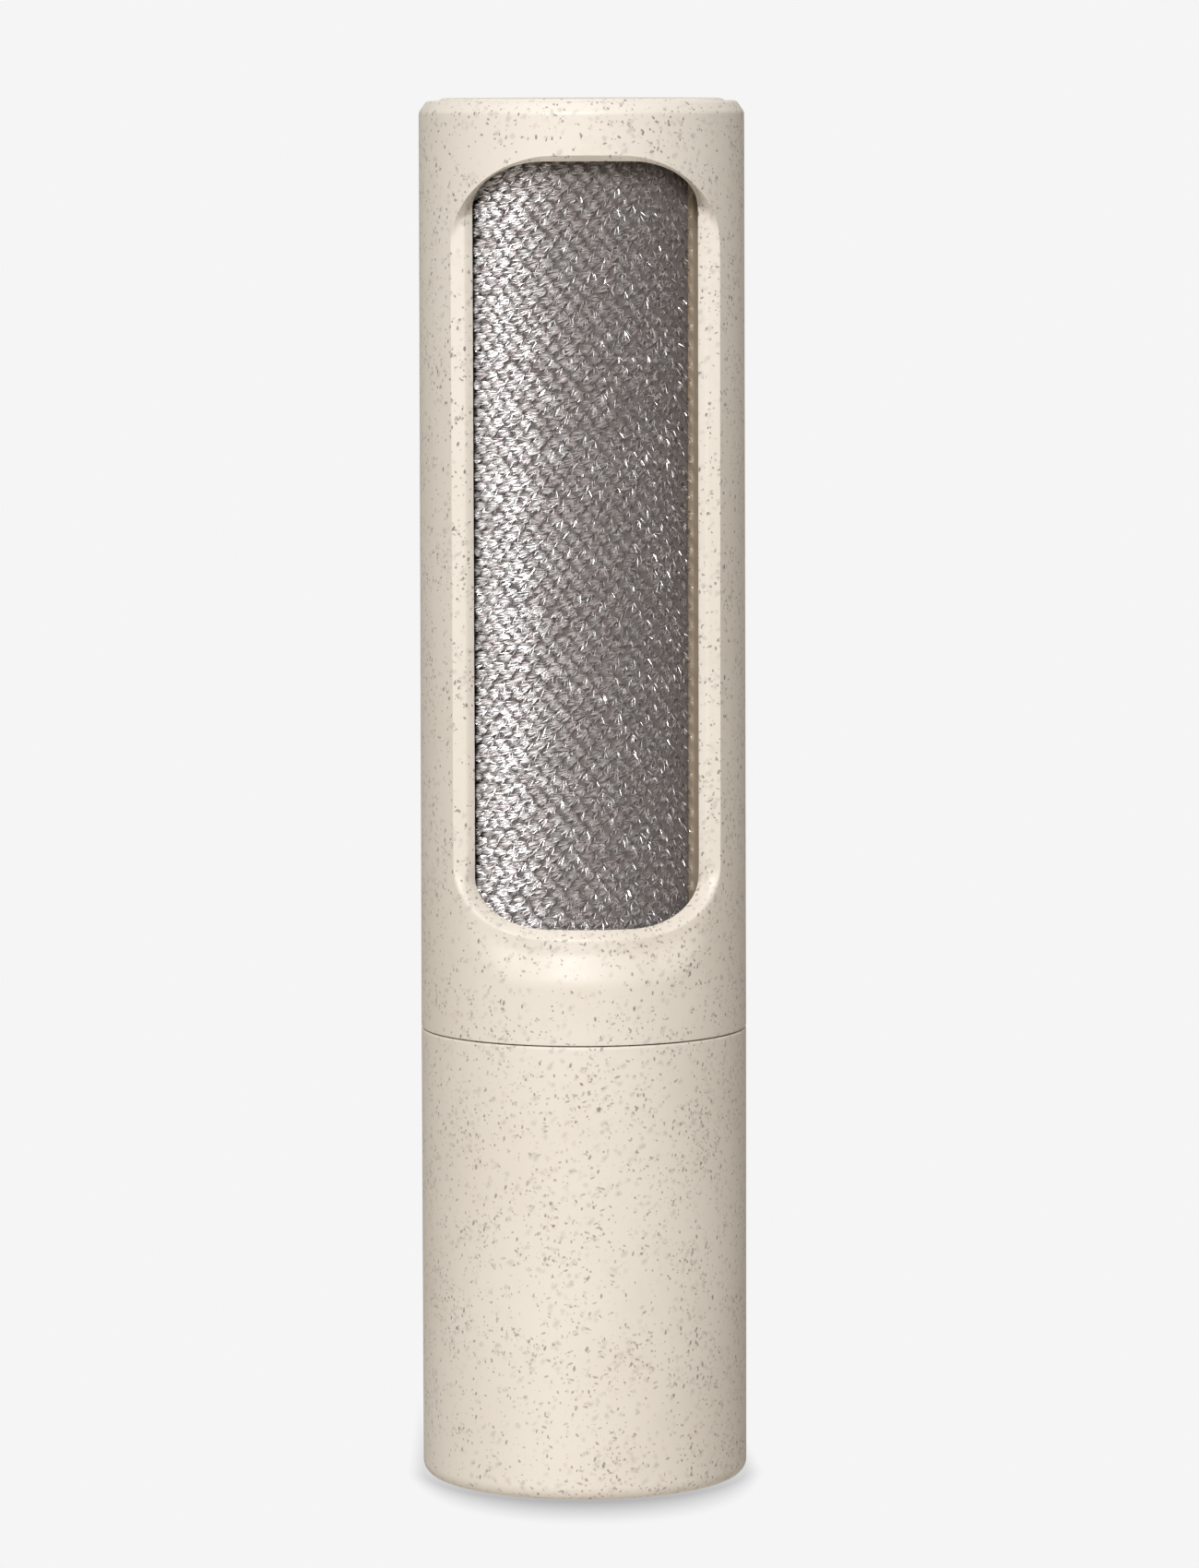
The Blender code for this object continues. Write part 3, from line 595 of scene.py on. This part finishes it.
# Cell size in mm, how many times as long as thick, turn, share of the cells, size, tint, strength.
# The first four kinds lie along the front and back, the next three along the sides, and the last two,
# which are finer, at a slant to both.
GRAINS = [
    (1.8, 2.6, (0, 0.35, 0), 0.24, 0.28, GRAIN_GREY, 0.74),
    (1.5, 2.0, (0, 1.25, 0), 0.24, 0.27, GRAIN_DARK, 0.76),
    (1.2, 1.7, (0, 2.30, 0), 0.26, 0.27, GRAIN_RED, 0.78),
    (1.6, 2.3, (0, 2.85, 0), 0.24, 0.28, GRAIN_GREY, 0.70),
    (1.7, 2.3, (0.5, 0, QUARTER_TURN), 0.22, 0.28, GRAIN_GREY, 0.72),
    (1.4, 2.0, (1.4, 0, QUARTER_TURN), 0.24, 0.27, GRAIN_DARK, 0.76),
    (1.2, 1.7, (2.4, 0, QUARTER_TURN), 0.24, 0.27, GRAIN_RED, 0.78),
    (0.75, 1.3, (0.7, 0.3, 0.4), 0.17, 0.24, GRAIN_RED, 0.65),
    (0.60, 1.5, (0.2, 1.3, 0.9), 0.16, 0.25, GRAIN_GREY, 0.45),
]
# Changes up the brush: from and to in mm of height, then the values there
CROWD_BY_HEIGHT = (50.0, 150.0, 1.45, 1.25)
# Painted light: the plastic pales towards the top, where more light falls
PAINTED_LIGHT_BY_HEIGHT = (60.0, 175.0, 0.0, 0.7)
GRAIN_HEIGHTS, LOW_GRAIN = (50.0, 110.0), 0.80

# Painted shade: from where to where the left margin of the pad and its carrier goes from dark to plain, in
# mm across. It stands for the shadow in the deep gap beside the pile
PAINTED_SHADE_EDGE = (-13.45, -13.15)
PAINTED_GAP_SHADE = (0.015, 0.012, 0.010)
# Painted shade for the roots deep in the pile
PILE_ROOT_SHADE = (0.46, 0.395, 0.37)
PILE_END = (0.92, 0.80, 0.64)
PILE_A = (0.97, 0.775, 0.760)
PILE_B = (1.0, 0.95, 0.92)
PILE_LIGHT = (1.0, 1.0, 1.0)
# In mm from the axis: where the painted shade at the roots ends, and where the sides' shine gives way to the
# tips
ROOT_FROM_AXIS = (17.25, 17.68)
TIP_FROM_AXIS = (17.60, 17.86)
END_ACROSS = (12.3, 13.2)  # in mm to the right: where the pile takes the tint of its right end


class Nodes:
    """Short calls that add and join shader nodes."""

    def __init__(self, name):
        self.material = bpy.data.materials.new(name)
        self.material.use_nodes = True
        self.tree = self.material.node_tree
        self.tree.nodes.clear()
        self.shader = self.add("ShaderNodeBsdfPrincipled")
        output = self.add("ShaderNodeOutputMaterial")
        self.join(self.shader.outputs[0], output.inputs["Surface"])

    def add(self, kind, **settings):
        node = self.tree.nodes.new(kind)
        for key, value in settings.items():
            setattr(node, key, value)
        return node

    def join(self, a, b):
        self.tree.links.new(a, b)

    def put(self, socket, value):
        """Join a socket, or set a plain value."""
        if isinstance(value, bpy.types.NodeSocket):
            self.join(value, socket)
        else:
            socket.default_value = value

    def place(self, scale=(1, 1, 1), turn=(0, 0, 0), shift=(0, 0, 0)):
        """Object coordinates in millimetres, turned and then stretched."""
        source = self.add("ShaderNodeTexCoord").outputs["Object"]
        turned = self.add("ShaderNodeMapping")
        self.join(source, turned.inputs["Vector"])
        turned.inputs["Rotation"].default_value = turn
        turned.inputs["Scale"].default_value = (1000, 1000, 1000)
        stretched = self.add("ShaderNodeMapping")
        self.join(turned.outputs[0], stretched.inputs["Vector"])
        stretched.inputs["Location"].default_value = shift
        stretched.inputs["Scale"].default_value = scale
        return stretched.outputs[0]

    def noise(self, vector, scale, detail=2.0, roughness=0.5):
        node = self.add("ShaderNodeTexNoise")
        self.join(vector, node.inputs["Vector"])
        node.inputs["Scale"].default_value = scale
        node.inputs["Detail"].default_value = detail
        node.inputs["Roughness"].default_value = roughness
        return node.outputs["Fac"]

    def cells(self, vector, scale):
        """Distance from the middle of the nearest cell, and the cell's random colour."""
        node = self.add("ShaderNodeTexVoronoi", feature="F1")
        self.join(vector, node.inputs["Vector"])
        node.inputs["Scale"].default_value = scale
        return node.outputs["Distance"], node.outputs["Color"]

    def math(self, operation, a, b=0.0):
        node = self.add("ShaderNodeMath", operation=operation)
        self.put(node.inputs[0], a)
        self.put(node.inputs[1], b)
        return node.outputs[0]

    def map(self, value, low, high, to_low=0.0, to_high=1.0, kind="SMOOTHSTEP"):
        """The value carried from one range to another."""
        node = self.add("ShaderNodeMapRange", interpolation_type=kind)
        self.put(node.inputs["Value"], value)
        for key, number in zip(("From Min", "From Max", "To Min", "To Max"), (low, high, to_low, to_high)):
            self.put(node.inputs[key], number)
        return node.outputs[0]

    def mix(self, factor, a, b):
        """Colour a where the factor is 0, and b where it is 1."""
        node = self.add("ShaderNodeMix", data_type="RGBA")
        self.put(node.inputs["Factor"], factor)
        for socket, value in ((node.inputs[6], a), (node.inputs[7], b)):
            self.put(socket, (*value, 1.0) if isinstance(value, tuple) else value)
        return node.outputs[2]

    def channels(self, colour):
        node = self.add("ShaderNodeSeparateColor")
        self.join(colour, node.inputs[0])
        return node.outputs[0], node.outputs[1], node.outputs[2]

    def bump(self, height, distance, strength):
        node = self.add("ShaderNodeBump")
        self.join(height, node.inputs["Height"])
        node.inputs["Distance"].default_value = distance
        node.inputs["Strength"].default_value = strength
        return node.outputs[0]

    def set(self, **values):
        """The shader's inputs, with _ for a space."""
        for key, value in values.items():
            self.put(self.shader.inputs[key.replace("_", " ")], value)


def flecks(n, cell, stretch, turn, shift, share, size, crowd):
    """A mask of thin grains: one in some of the cells, long across the stretch, more where crowd is high."""
    vector = n.place(scale=(1.0, stretch, stretch), turn=turn, shift=shift)
    distance, colour = n.cells(vector, 1 / cell)
    pick, length, strength = n.channels(colour)
    chosen = n.math("LESS_THAN", pick, n.math("MULTIPLY", crowd, share))
    edge = n.map(length, 0.0, 1.0, 0.45 * size, size, kind="LINEAR")
    ragged = n.math("MULTIPLY", n.math("SUBTRACT", n.noise(n.place(), 3.5, 2.0), 0.5), 1.1)
    inside = n.map(n.math("ADD", n.math("DIVIDE", distance, edge), ragged), 0.7, 1.1, 1.0, 0.0)
    return n.math("MULTIPLY", n.math("MULTIPLY", chosen, inside), n.map(strength, 0.0, 0.8, 0.35, 1.0))


def speckled_plastic():
    """Cream plastic with soft clouds, blurred spots and sharp grains, paler towards the top as painted
    light.
    """
    n = Nodes("speckled_plastic")
    plain = n.place()
    broad = n.noise(plain, 0.045, 3.0)
    cloud = n.noise(plain, 0.35, 3.0, 0.6)
    cloud_fine = n.noise(plain, 1.6, 2.0)
    crowd = n.map(n.noise(plain, 0.16, 2.0), 0.35, 0.68, 0.35, 1.5)
    level = n.channels(plain)[2]
    crowd = n.math("MULTIPLY", crowd, n.map(level, *CROWD_BY_HEIGHT))
    colour = n.mix(n.map(broad, 0.3, 0.7), CREAM_A, CREAM_B)
    # Painted light: paler towards the top
    colour = n.mix(n.map(level, *PAINTED_LIGHT_BY_HEIGHT), colour, CREAM_LIT_TOP)
    colour = n.mix(n.map(cloud, 0.52, 0.80, 0.0, 0.35), colour, CREAM_SHADE)
    for i, tint in enumerate((BLUR_GREY, BLUR_PINK, BLUR_GREY)):
        vector = n.place(scale=(1.0, 1.8, 1.8), turn=(0, 0.7 + 1.1 * i, 0.9 * i), shift=(3.7 * i, 9.0, 1.0))
        distance, cell = n.cells(vector, 1 / BLUR_CELL)
        pick = n.channels(cell)[0]
        chosen = n.math("LESS_THAN", pick, n.math("MULTIPLY", crowd, BLUR_SHARE))
        worn = n.math("ADD", distance, n.math("MULTIPLY", n.math("SUBTRACT", cloud_fine, 0.5), 0.5))
        soft = n.math("MULTIPLY", chosen, n.map(worn, 0.02, 0.38, 1.0, 0.0))
        colour = n.mix(n.math("MULTIPLY", soft, BLUR_STRENGTH), colour, tint)
    marks = None
    for i, (cell, stretch, turn, share, size, tint, strength) in enumerate(GRAINS):
        mask = flecks(n, cell, stretch, turn, (4.1 * i, 1.7 * i, 2.9 * i), share, size, crowd)
        strength = n.map(level, *GRAIN_HEIGHTS, LOW_GRAIN * strength, strength)
        colour = n.mix(n.math("MULTIPLY", mask, strength), colour, tint)
        marks = mask if marks is None else n.math("MAXIMUM", marks, mask)
    fine = n.noise(plain, 9.0, 3.0, 0.6)
    rough = n.map(n.noise(plain, 1.1, 3.0), 0.3, 0.7, 0.40, 0.49)
    height = n.math("SUBTRACT", n.math("MULTIPLY", fine, 0.35), n.math("MULTIPLY", marks, 0.5))
    n.set(Base_Color=colour, Roughness=rough, Normal=n.bump(height, 0.012 * MM, 0.5))
    n.set(IOR=1.46, Specular_IOR_Level=0.5)
    return n.material


def moulded(name, colour, other, roughness, grain=6.0, depth=0.01, sheen=0.0, painted_shade_edge=None):
    """Plain plastic, rubber or felt with a little mottling and a fine surface, and, if asked, painted shade
    along its left edge where a gap lies in shadow.
    """
    n = Nodes(name)
    plain = n.place()
    tone = n.map(n.noise(plain, 0.22, 3.0), 0.3, 0.7)
    surface = n.noise(plain, grain, 4.0, 0.6)
    base = n.mix(tone, colour, other)
    if painted_shade_edge:
        # Painted shade: the left margin goes nearly black, standing for the shadow in the gap beside the
        # pile
        base = n.mix(n.map(n.channels(plain)[0], *painted_shade_edge, 0.96, 0.0), base, PAINTED_GAP_SHADE)
    n.set(Base_Color=base, Normal=n.bump(surface, depth * MM, 0.6))
    n.set(Roughness=n.map(surface, 0.3, 0.7, roughness - 0.06, roughness + 0.06))
    n.set(Sheen_Weight=sheen)
    return n.material


def steel():
    n = Nodes("steel")
    streak = n.noise(n.place(scale=(1, 1, 9)), 2.5, 4.0, 0.6)
    n.set(Base_Color=n.mix(streak, (0.50, 0.50, 0.51), (0.63, 0.63, 0.64)), Metallic=1.0)
    n.set(Roughness=n.map(streak, 0.3, 0.7, 0.22, 0.36), Normal=n.bump(streak, 0.004 * MM, 0.4))
    return n.material


def woven():
    """The pads' dark base cloth, with painted shade along its left edge where the gap beside the pile lies
    in shadow.
    """
    n = Nodes("base_cloth")
    vector = n.place()
    thread = n.noise(n.place(scale=(1, 1, 3)), 2.2, 3.0)
    colour = n.mix(thread, (0.12, 0.10, 0.095), (0.19, 0.165, 0.155))
    # Painted shade: the cloth's left margin goes nearly black, standing for the shadow in the gap beside the
    # pile
    painted_shade_mask = n.map(n.channels(vector)[0], *PAINTED_SHADE_EDGE, 0.95, 0.0)
    n.set(Base_Color=n.mix(painted_shade_mask, colour, PAINTED_GAP_SHADE), Roughness=0.9)
    n.set(Normal=n.bump(n.noise(vector, 5.0, 3.0), 0.03 * MM, 0.8))
    return n.material


def pile():
    """Silvery fibres, with painted shade darkening them towards the root."""
    n = Nodes("pile_fibre")
    vector = n.place()
    tuft = n.noise(vector, 0.85, 2.0)
    strand = n.noise(vector, 7.0, 2.0, 0.6)
    colour = n.mix(n.map(tuft, 0.3, 0.7), PILE_A, PILE_B)
    colour = n.mix(n.map(strand, 0.44, 0.60), colour, PILE_LIGHT)
    x, y, _ = n.channels(vector)
    from_axis = n.math("SQRT", n.math("ADD", n.math("MULTIPLY", x, x), n.math("MULTIPLY", y, y)))
    # Painted shade deep in the pile: the fibres darken towards their roots
    colour = n.mix(n.map(from_axis, *ROOT_FROM_AXIS, 0.85, 0.0), colour, PILE_ROOT_SHADE)
    colour = n.mix(n.map(x, *END_ACROSS, 0.0, 0.75), colour, PILE_END)
    # The ends scatter light, and the sides of a fibre shine
    n.set(Metallic=n.map(from_axis, *TIP_FROM_AXIS, 0.95, 0.4))
    n.set(Base_Color=colour, Roughness=0.28, Coat_Weight=1.0, Coat_IOR=4.2, Coat_Roughness=0.24)
    return n.material


# Build

speckle = speckled_plastic()
housing = add_object("housing_body", *housing_mesh(), speckle, "housing", "speckled_plastic", merge=True)
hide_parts("housing_shell")
add_object("housing_keys", *keys_mesh(), speckle, "housing", "speckled_plastic", merge=True)
handle = add_object("handle_body", *handle_mesh(), speckle, "handle", "speckled_plastic", merge=True)
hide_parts("handle_shell")
cap = add_object("cap_body", *cap_mesh(), speckle, "housing", "speckled_plastic", merge=True)
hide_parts("top_cap")

cloth_material, fibre_material = woven(), pile()
# Name, angle of its middle, which way its nap leans, fibres in a tuft, their width, pieces of pile
PADS = (("front", DRUM_TURN, 1, 56, 0.068 * MM, 7), ("rear", DRUM_TURN + math.pi, -1, 22, 0.12 * MM, 3))
for name, middle, nap, per_tuft, width, pieces in PADS:
    lowest, highest = (corner.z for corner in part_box("brush_pad_" + name))
    cloth = add_object(
        "pad_cloth_" + name, *cloth_mesh(middle, lowest, highest), cloth_material, "handle", "pile_fabric"
    )
    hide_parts("brush_pad_" + name)
    places = tuft_places(lowest, highest)
    places = places[np.argsort(places[:, 1])]
    for number, group in enumerate(np.array_split(places, pieces), 1):
        verts, faces = fibres_mesh(group, middle, nap, per_tuft, width)
        tufts = f"pile_{name}_{number}"
        add_object(tufts, verts, faces, fibre_material, "handle", "pile_fabric", sharp=None)

LOOKS = {
    "drum_plastic": moulded("drum_plastic", (0.62, 0.55, 0.45), (0.57, 0.50, 0.40), 0.5),
    # The carrier's left margin gets painted shade for the shadow in the gap beside the pile
    "carrier_plastic": moulded(
        "carrier_plastic", (0.92, 0.77, 0.60), (0.86, 0.71, 0.54), 0.55, painted_shade_edge=PAINTED_SHADE_EDGE
    ),
    "white_acetal": moulded("white_acetal", (0.80, 0.79, 0.75), (0.76, 0.75, 0.70), 0.36),
    "felt": moulded(
        "felt", (0.060, 0.060, 0.062), (0.035, 0.035, 0.036), 0.9, grain=3.0, depth=0.15, sheen=0.4
    ),
    "rubber": moulded("rubber", (0.030, 0.030, 0.030), (0.022, 0.022, 0.022), 0.6),
    "steel": steel(),
}
SLOTS = {entry["node"]: entry["material_slot"] for entry in frame["record"]["subparts"]}
for node, obj in nodes.items():
    look = LOOKS.get(SLOTS[node])
    if look is None:
        continue
    if not obj.data.materials:
        obj.data.materials.append(look)
    for index in range(len(obj.material_slots)):
        obj.material_slots[index].material = look


# Studio


def sun(name, azimuth, elevation, strength, spread, colour=(1, 1, 1)):
    """A soft light from that side: azimuth from the front, positive to the right."""
    light = bpy.data.lights.new(name, "SUN")
    light.energy = strength
    light.angle = math.radians(spread)
    light.color = colour
    obj = bpy.data.objects.new(name, light)
    obj.rotation_euler = (math.radians(90 - elevation), 0, math.radians(azimuth))
    bpy.context.scene.collection.objects.link(obj)


sun("key", -10, 38, 1.4, 75)
sun("edge", -12, 34, 2.15, 18, (0.96, 1.0, 1.04))
sun("back", 170, 50, 0.40, 60)

# Ambient light: even and low at the front and sides, pale behind and below as in a white room
BACKGROUND = (0.913, 0.913, 0.913)
AMBIENT_TINT = (1.0, 0.955, 0.865)
AMBIENT = 0.18
FLOOR_GLOW = 1.25
WALL_GLOW = 0.46


def graph(tree):
    """A call that adds a node to this emptied tree, with its inputs set or joined by index or name."""
    tree.nodes.clear()

    def node(kind, inputs=(), **settings):
        found = tree.nodes.new(kind)
        for key, value in settings.items():
            setattr(found, key, value)
        for index, value in inputs:
            if isinstance(value, bpy.types.NodeSocket):
                tree.links.new(value, found.inputs[index])
            else:
                found.inputs[index].default_value = value
        return found

    return node


def light_world():
    """The ambient light, and a plain pale background for the camera."""
    world = bpy.data.worlds.new("studio")
    bpy.context.scene.world = world
    world.use_nodes = True
    node = graph(world.node_tree)
    direction = node("ShaderNodeTexCoord").outputs["Generated"]
    split = node("ShaderNodeSeparateXYZ", [(0, direction)])
    depth, height = split.outputs["Y"], split.outputs["Z"]
    below = node("ShaderNodeMapRange", [(0, height), (1, -0.4), (2, -0.95), (3, AMBIENT), (4, FLOOR_GLOW)])
    low = below.outputs[0]
    behind = node("ShaderNodeMapRange", [(0, depth), (1, 0.15), (2, 0.75), (3, low), (4, WALL_GLOW)])
    ambient = node("ShaderNodeBackground", [(0, (*AMBIENT_TINT, 1)), (1, behind.outputs[0])])
    seen = node("ShaderNodeBackground", [(0, (*BACKGROUND, 1)), (1, 1.0)])
    path = node("ShaderNodeLightPath").outputs["Is Camera Ray"]
    choose = node("ShaderNodeMixShader", [(0, path), (1, ambient.outputs[0]), (2, seen.outputs[0])])
    node("ShaderNodeOutputWorld", [("Surface", choose.outputs[0])])


light_world()

# Floor: paper as pale as the background, with a soft shadow round the base that is long in front and behind
SHADOW_ACROSS = 1.9 * MM
SHADOW_AHEAD = 12.5 * MM
SHADOW_BEHIND = 45.0 * MM
SHADOW_SIDE, SHADOW_FRONT = 0.24, 0.50  # how dark it is beside the base, and in front of it
SHADOW_TURN = 3.0  # power: how late its length grows from the side to the front
SHADOW_END, SHADOW_POWER = 1.2, 1.3  # it fades out at this many lengths, with this power
FLOOR_SIZE = 60  # metres from its middle to its edge
FLOOR_SIDES = 64
FLOOR_DROP = 0.05 * MM


def floor_paper():
    """The floor's glow, with the shadow worked out from the place."""
    material = bpy.data.materials.new("floor_paper")
    material.use_nodes = True
    node = graph(material.node_tree)

    def calc(operation, a, b=0.0, clamp=False):
        return node("ShaderNodeMath", [(0, a), (1, b)], operation=operation, use_clamp=clamp).outputs[0]

    place = node("ShaderNodeSeparateXYZ", [(0, node("ShaderNodeTexCoord").outputs["Object"])])
    side, forward = place.outputs["X"], calc("MINIMUM", place.outputs["Y"], 0.0)
    radius = calc("SQRT", calc("ADD", calc("MULTIPLY", side, side), calc("MULTIPLY", forward, forward)))
    turned = calc("DIVIDE", calc("ABSOLUTE", forward), radius)
    longer = calc("MULTIPLY", calc("POWER", turned, SHADOW_TURN), SHADOW_AHEAD - SHADOW_ACROSS)
    reach = calc("ADD", SHADOW_ACROSS, longer)
    away = calc("DIVIDE", calc("MAXIMUM", calc("SUBTRACT", radius, BASE_R), 0.0), reach)
    away = calc("ADD", away, calc("DIVIDE", calc("MAXIMUM", place.outputs["Y"], 0.0), SHADOW_BEHIND))
    left = calc("SUBTRACT", 1.0, calc("DIVIDE", away, SHADOW_END), clamp=True)
    most = calc("ADD", SHADOW_SIDE, calc("MULTIPLY", turned, SHADOW_FRONT - SHADOW_SIDE))
    shade = calc("SUBTRACT", 1.0, calc("MULTIPLY", calc("POWER", left, SHADOW_POWER), most))
    paper = node("ShaderNodeEmission", [(0, (*BACKGROUND, 1)), (1, shade)])
    node("ShaderNodeOutputMaterial", [("Surface", paper.outputs[0])])
    return material


floor_mesh = bpy.data.meshes.new("floor")
floor_turns = np.linspace(0, TURN, FLOOR_SIDES + 1)[:-1]
floor_edge = [(FLOOR_SIZE * math.cos(a), FLOOR_SIZE * math.sin(a), -FLOOR_DROP) for a in floor_turns]
floor_mesh.from_pydata(floor_edge, [], [tuple(range(FLOOR_SIDES))])
floor_mesh.materials.append(floor_paper())
floor = bpy.data.objects.new("floor", floor_mesh)
bpy.context.scene.collection.objects.link(floor)
floor.visible_diffuse = False
floor.visible_glossy = False
floor.visible_shadow = False

# Camera: nearly level with the top of the brush, about 0.93 m away, a little to the left of the
# window's middle
CAMERA_AWAY = 934.8 * MM
CAMERA_UP = 183.7 * MM
CAMERA_ROUND = math.radians(-2.2)
CAMERA_PITCH = math.radians(5.685)
CAMERA_YAW = math.radians(0.130)
CAMERA_ROLL = math.radians(-0.143)
CAMERA_LENS, CAMERA_SENSOR = 165.6, 36.0  # mm
CAMERA_FAR = 200.0

camera_data = bpy.data.cameras.new("camera")
camera_data.sensor_width = CAMERA_SENSOR
camera_data.lens = CAMERA_LENS
camera_data.clip_end = CAMERA_FAR
camera = bpy.data.objects.new("camera", camera_data)
bpy.context.scene.collection.objects.link(camera)
right = np.array([math.cos(CAMERA_YAW), -math.sin(CAMERA_YAW), 0])
ahead = np.array([math.sin(CAMERA_YAW), math.cos(CAMERA_YAW), 0])
up = np.array([0, 0, 1.0])
forward = math.cos(CAMERA_PITCH) * ahead - math.sin(CAMERA_PITCH) * up
above = math.sin(CAMERA_PITCH) * ahead + math.cos(CAMERA_PITCH) * up
across = right * math.cos(CAMERA_ROLL) + above * math.sin(CAMERA_ROLL)
upward = above * math.cos(CAMERA_ROLL) - right * math.sin(CAMERA_ROLL)
pose = Matrix([[*row] for row in np.stack([across, upward, -forward], 1)]).to_4x4()
pose.translation = (0, -CAMERA_AWAY, CAMERA_UP)
camera.matrix_world = Matrix.Rotation(CAMERA_ROUND, 4, "Z") @ pose
bpy.context.scene.camera = camera
bpy.context.scene.view_settings.view_transform = "Standard"
